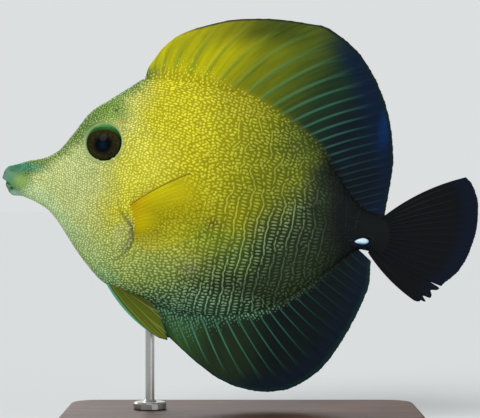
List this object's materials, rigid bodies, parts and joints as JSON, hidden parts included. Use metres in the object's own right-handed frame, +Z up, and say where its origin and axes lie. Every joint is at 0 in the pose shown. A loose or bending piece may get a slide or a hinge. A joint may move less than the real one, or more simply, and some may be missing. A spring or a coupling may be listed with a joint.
{
  "type": "scopas tang display model",
  "caption": "Life-size still model of a disc-shaped reef fish with a pointed snout, tall fins and a white tail spine, held head up by a rod on a flat base.",
  "frame": {"origin": "centre of the stand base's underside, on the floor", "axes": "+X from the snout to the tail, +Y to the fish's right side, +Z up"},
  "size_m": [0.1584, 0.062, 0.1375],
  "materials": {
    "skin": "satin yellow skin with fine pale scales, darkening to the tail",
    "dark_skin": "satin blue-black skin",
    "fin": "satin olive fin membrane with pale green rays",
    "dark_fin": "satin blue-black fin membrane with teal rays",
    "clear_fin": "translucent yellow fin membrane",
    "eye": "glossy dark brown with a blue-black pupil",
    "blade": "glossy bluish white",
    "stand_wood": "dark satin varnish",
    "stand_metal": "satin steel"
  },
  "bodies": {
    "root": {"head": "skin", "lower_jaw": "skin", "trunk": "skin", "tail_stalk": "dark_skin", "gill_cover_left": "skin", "gill_cover_right": "skin", "dorsal_fin": "fin", "anal_fin": "dark_fin", "caudal_fin": "dark_fin", "pectoral_fin_left": "clear_fin", "pectoral_fin_right": "clear_fin", "pelvic_fin_left": "fin", "pelvic_fin_right": "fin", "eye_left": "eye", "eye_right": "eye", "tail_spine_left": "blade", "tail_spine_right": "blade", "stand_base": "stand_wood", "stand_rod": "stand_metal"}
  },
  "joints": []
}
